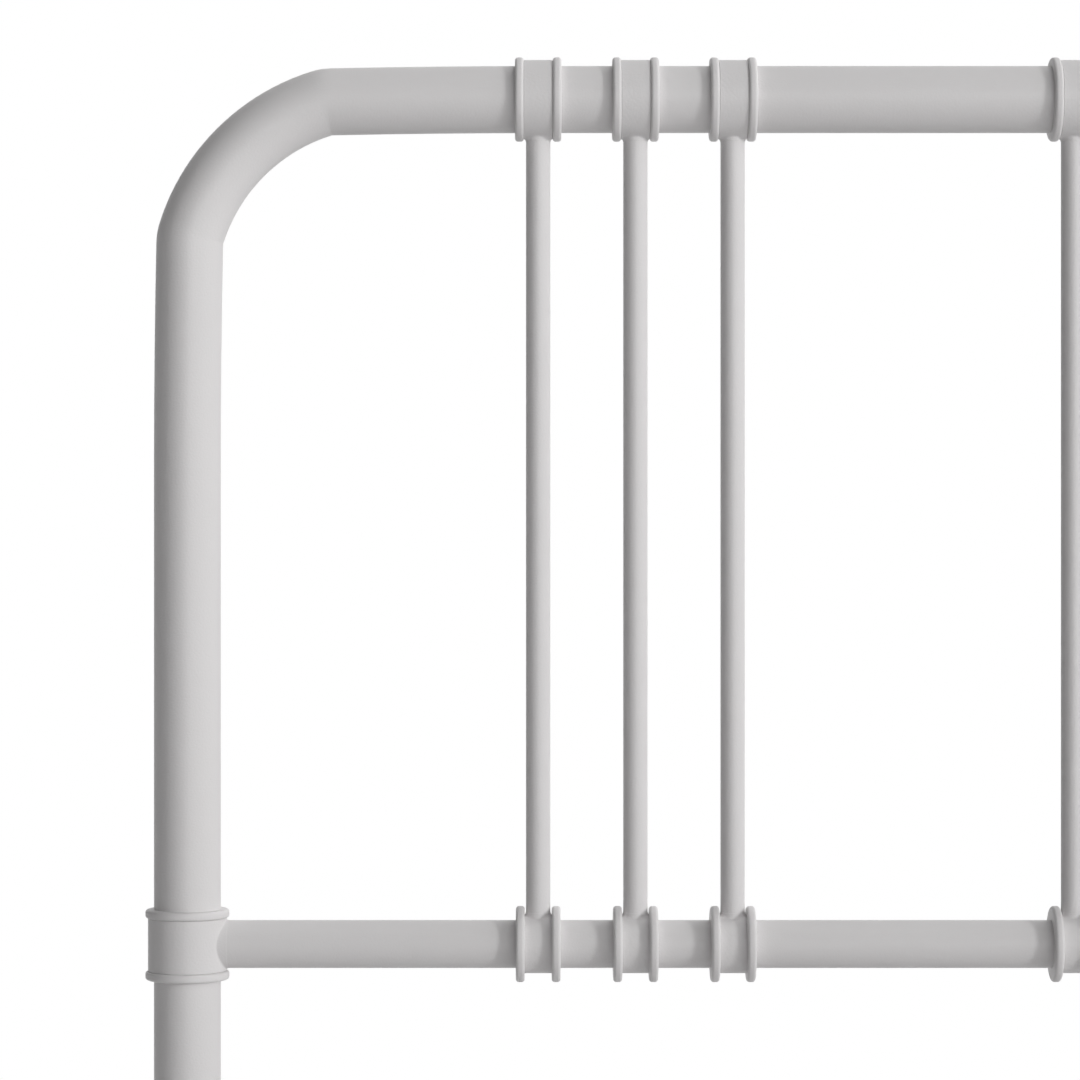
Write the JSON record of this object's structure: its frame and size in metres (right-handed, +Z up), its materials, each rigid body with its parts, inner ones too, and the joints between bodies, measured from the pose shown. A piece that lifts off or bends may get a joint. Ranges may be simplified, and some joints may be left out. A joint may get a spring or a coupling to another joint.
{
  "type": "metal bed frame",
  "caption": "Bed frame of welded steel tube with arched head and foot panels, clustered spindles held in cast collars, bolted side rails and a slatted deck on levelling centre legs.",
  "frame": {"origin": "floor, under the middle of the bed", "axes": "+Z up, +Y towards the headboard, X across the bed; the left of a viewer who faces the headboard is -X"},
  "size_m": [1.5814, 2.1652, 1.1866],
  "materials": {
    "painted_steel": "satin light grey-white powder coat",
    "painted_casting": "satin light grey-white powder coat",
    "zinc_plated_steel": "zinc plated",
    "light_plastic": "matt",
    "black_plastic": "matt",
    "rubber_tape": "matt"
  },
  "bodies": {
    "frame": {"centre_leg_bolts": "zinc_plated_steel", "centre_leg_inserts": "black_plastic", "centre_leg_plates": "painted_steel", "centre_rail": "painted_steel", "centre_rail_hooks": "painted_steel", "foot_end_leg": "painted_steel", "foot_end_slats": "painted_steel", "footboard_arch": "painted_steel", "footboard_centre_bar_collars": "painted_casting", "footboard_centre_rail_collars": "painted_casting", "footboard_centre_spindles": "painted_steel", "footboard_crossbar": "painted_steel", "footboard_foot_caps": "light_plastic", "footboard_left_bar_collars": "painted_casting", "footboard_left_rail_collars": "painted_casting", "footboard_left_spindles": "painted_steel", "footboard_left_tee_collar": "painted_casting", "footboard_lower_rail": "painted_steel", "footboard_right_bar_collars": "painted_casting", "footboard_right_rail_collars": "painted_casting", "footboard_right_spindles": "painted_steel", "footboard_right_tee_collar": "painted_casting", "head_end_leg": "painted_steel", "head_end_slats": "painted_steel", "headboard_arch": "painted_steel", "headboard_centre_bar_collars": "painted_casting", "headboard_centre_rail_collars": "painted_casting", "headboard_centre_spindles": "painted_steel", "headboard_crossbar": "painted_steel", "headboard_foot_caps": "light_plastic", "headboard_left_bar_collars": "painted_casting", "headboard_left_rail_collars": "painted_casting", "headboard_left_spindles": "painted_steel", "headboard_left_tee_collar": "painted_casting", "headboard_lower_rail": "painted_steel", "headboard_right_bar_collars": "painted_casting", "headboard_right_rail_collars": "painted_casting", "headboard_right_spindles": "painted_steel", "headboard_right_tee_collar": "painted_casting", "hook_bolts_and_nuts": "zinc_plated_steel", "joint_bolts": "zinc_plated_steel", "joint_washers": "zinc_plated_steel", "left_side_rail": "painted_steel", "left_slat_ledge": "painted_steel", "middle_leg": "painted_steel", "middle_slats": "painted_steel", "rail_saddles": "painted_casting", "right_side_rail": "painted_steel", "right_slat_ledge": "painted_steel", "slat_end_caps": "light_plastic", "slat_screws": "zinc_plated_steel", "slat_tapes": "rubber_tape"},
    "foot_end_pad": {"foot_end_foot_pad": "black_plastic"},
    "foot_end_stud": {"foot_end_foot_stud": "zinc_plated_steel"},
    "middle_pad": {"middle_foot_pad": "black_plastic"},
    "middle_stud": {"middle_foot_stud": "zinc_plated_steel"},
    "head_end_pad": {"head_end_foot_pad": "black_plastic"},
    "head_end_stud": {"head_end_foot_stud": "zinc_plated_steel"}
  },
  "joints": [
    {"name": "foot_end_pad_slide", "type": "slide", "parent": "frame", "child": "foot_end_pad", "axis": [0, 0, -1], "range_m": [-0.01, 0.006]},
    {"name": "foot_end_stud_turn", "type": "hinge", "parent": "foot_end_pad", "child": "foot_end_stud", "pos_m": [0, -0.56, 0.02], "axis": [0, 0, -1], "range_deg": [-2400, 1440]},
    {"name": "middle_pad_slide", "type": "slide", "parent": "frame", "child": "middle_pad", "axis": [0, 0, -1], "range_m": [-0.01, 0.006]},
    {"name": "middle_stud_turn", "type": "hinge", "parent": "middle_pad", "child": "middle_stud", "pos_m": [0, 0, 0.02], "axis": [0, 0, -1], "range_deg": [-2400, 1440]},
    {"name": "head_end_pad_slide", "type": "slide", "parent": "frame", "child": "head_end_pad", "axis": [0, 0, -1], "range_m": [-0.01, 0.006]},
    {"name": "head_end_stud_turn", "type": "hinge", "parent": "head_end_pad", "child": "head_end_stud", "pos_m": [0, 0.56, 0.02], "axis": [0, 0, -1], "range_deg": [-2400, 1440]}
  ],
  "couplings": [
    {"joint": "foot_end_stud_turn", "follows": "foot_end_pad_slide", "rad_per_m": 4188.8},
    {"joint": "middle_stud_turn", "follows": "middle_pad_slide", "rad_per_m": 4188.8},
    {"joint": "head_end_stud_turn", "follows": "head_end_pad_slide", "rad_per_m": 4188.8}
  ]
}
